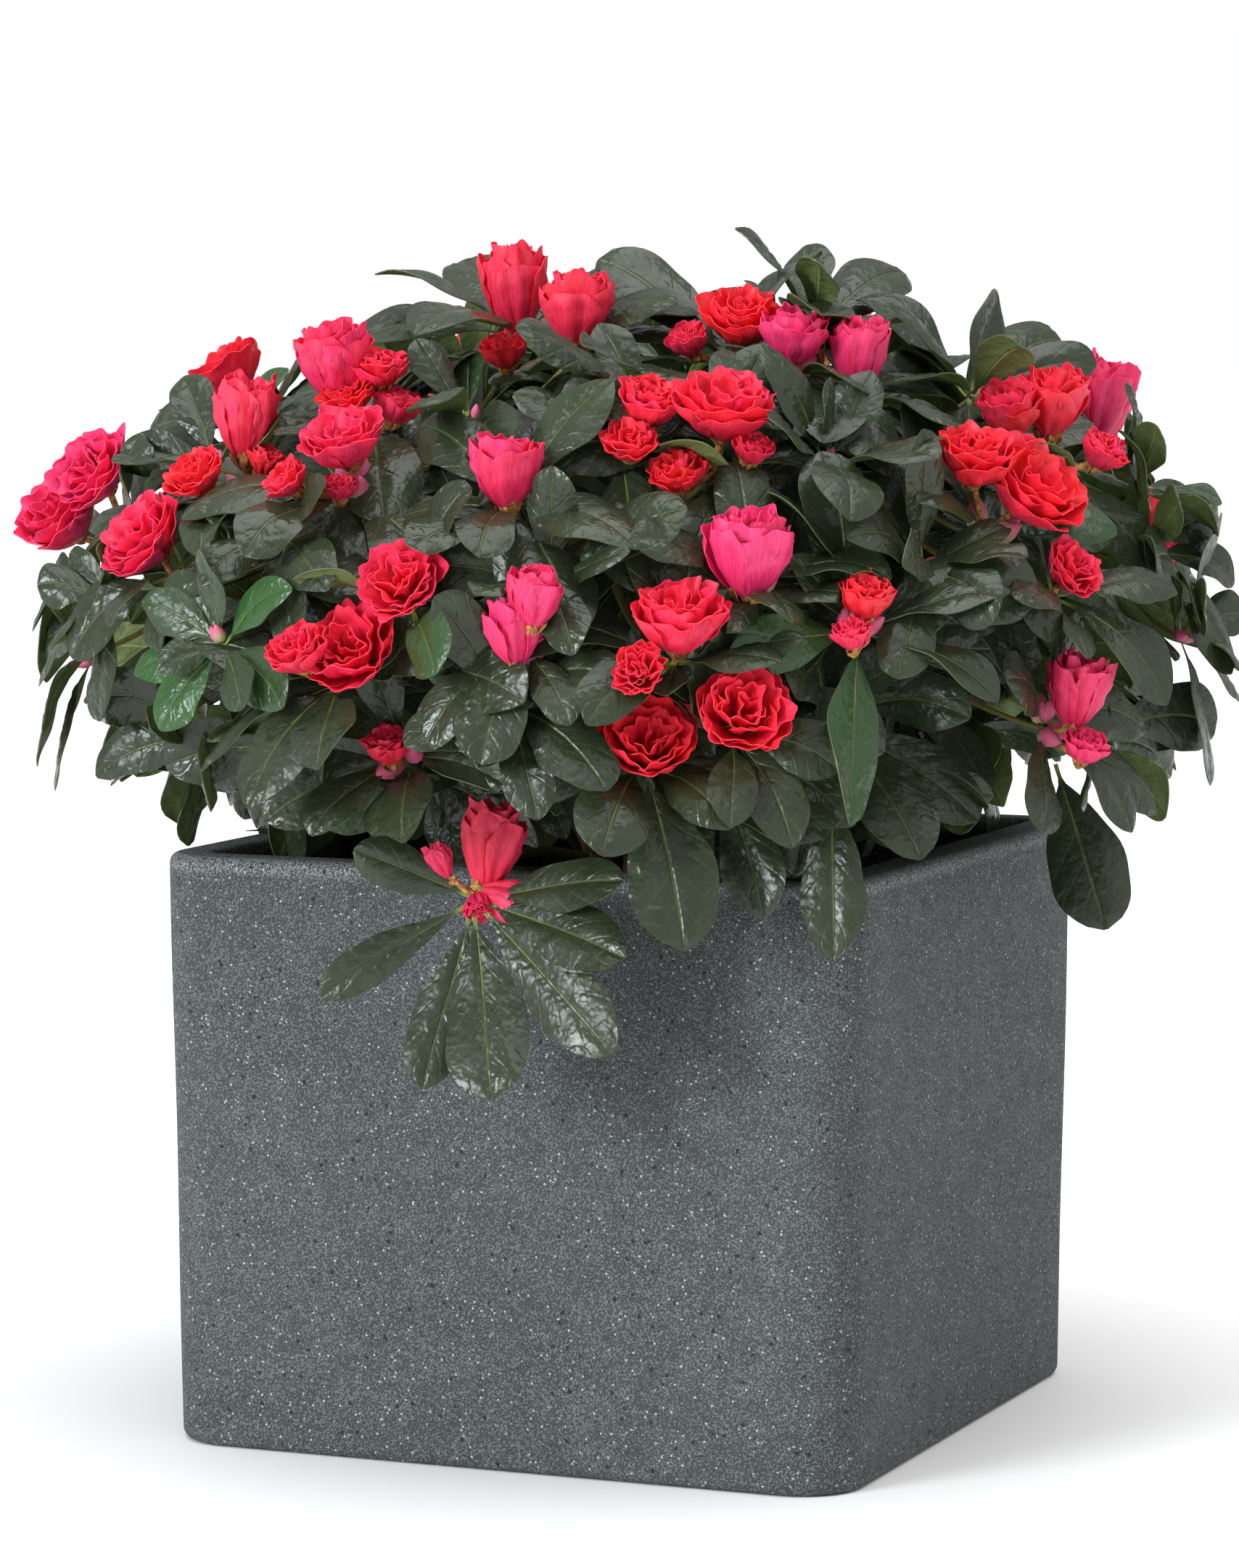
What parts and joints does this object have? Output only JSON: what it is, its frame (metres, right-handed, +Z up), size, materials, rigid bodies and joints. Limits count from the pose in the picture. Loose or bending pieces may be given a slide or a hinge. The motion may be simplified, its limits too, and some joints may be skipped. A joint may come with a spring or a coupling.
{
  "type": "planter box",
  "caption": "Square granite-look plastic planter box with a turned-in rim, drain plugs and a potted red double azalea that lifts out.",
  "frame": {"origin": "centre of the planter's flat underside, on the ground plane", "axes": "+Z up; the four sides face -Y (front), +X, +Y and -X; the hanging sprig is on the front"},
  "size_m": [0.6523, 0.6817, 0.6444],
  "materials": {
    "granite_plastic": "anthracite rotation-moulded polyethylene with pale blue-grey granite flecks and fine pits",
    "plug_rubber": "matte black rubber",
    "pot_plastic": "thin satin black nursery pot",
    "potting_mix": "peat and fine bark with white perlite",
    "bark": "brown azalea bark, greener on young shoots",
    "leaf": "dark green waxy leaves with pale midribs and fine hairs",
    "petal": "thin ruffled petals, coral red to magenta pink"
  },
  "bodies": {
    "planter": {"planter_shell": "granite_plastic"},
    "planting": {"nursery_pot": "pot_plastic", "potting_mix": "potting_mix", "root_collar": "bark", "azalea_stem_1": "bark", "azalea_stem_2": "bark", "azalea_stem_3": "bark", "azalea_stem_4": "bark", "azalea_stem_5": "bark", "azalea_stem_6": "bark", "azalea_stem_7": "bark", "azalea_stem_8": "bark", "azalea_foliage": "leaf", "flower_head_01": "petal", "flower_head_02": "petal", "flower_head_03": "petal", "flower_head_04": "petal", "flower_head_05": "petal", "flower_head_06": "petal", "flower_head_07": "petal", "flower_head_08": "petal", "flower_head_09": "petal", "flower_head_10": "petal", "flower_head_11": "petal", "flower_head_12": "petal", "flower_head_13": "petal", "flower_head_14": "petal", "flower_head_15": "petal", "flower_head_16": "petal", "flower_head_17": "petal", "flower_head_18": "petal", "flower_head_19": "petal", "flower_head_20": "petal", "flower_head_21": "petal", "flower_head_22": "petal", "flower_head_23": "petal", "flower_head_24": "petal", "flower_head_25": "petal", "flower_head_26": "petal", "flower_head_27": "petal", "flower_head_28": "petal", "flower_head_29": "petal", "flower_head_30": "petal", "flower_head_31": "petal", "flower_head_32": "petal", "flower_head_33": "petal", "flower_head_34": "petal", "flower_head_35": "petal", "hanging_stem": "bark", "hanging_leaves": "leaf", "hanging_flower_head": "petal"},
    "plug_1": {"drain_plug_1": "plug_rubber"},
    "plug_2": {"drain_plug_2": "plug_rubber"},
    "plug_3": {"drain_plug_3": "plug_rubber"},
    "plug_4": {"drain_plug_4": "plug_rubber"}
  },
  "joints": [
    {"name": "planting_lift", "type": "slide", "parent": "planter", "child": "planting", "axis": [0, 0, 1], "range_m": [0, 0.34]},
    {"name": "plug_1_pull", "type": "slide", "parent": "planter", "child": "plug_1", "axis": [0, 0, 1], "range_m": [0, 0.03]},
    {"name": "plug_2_pull", "type": "slide", "parent": "planter", "child": "plug_2", "axis": [0, 0, 1], "range_m": [0, 0.03]},
    {"name": "plug_3_pull", "type": "slide", "parent": "planter", "child": "plug_3", "axis": [0, 0, 1], "range_m": [0, 0.03]},
    {"name": "plug_4_pull", "type": "slide", "parent": "planter", "child": "plug_4", "axis": [0, 0, 1], "range_m": [0, 0.03]}
  ]
}
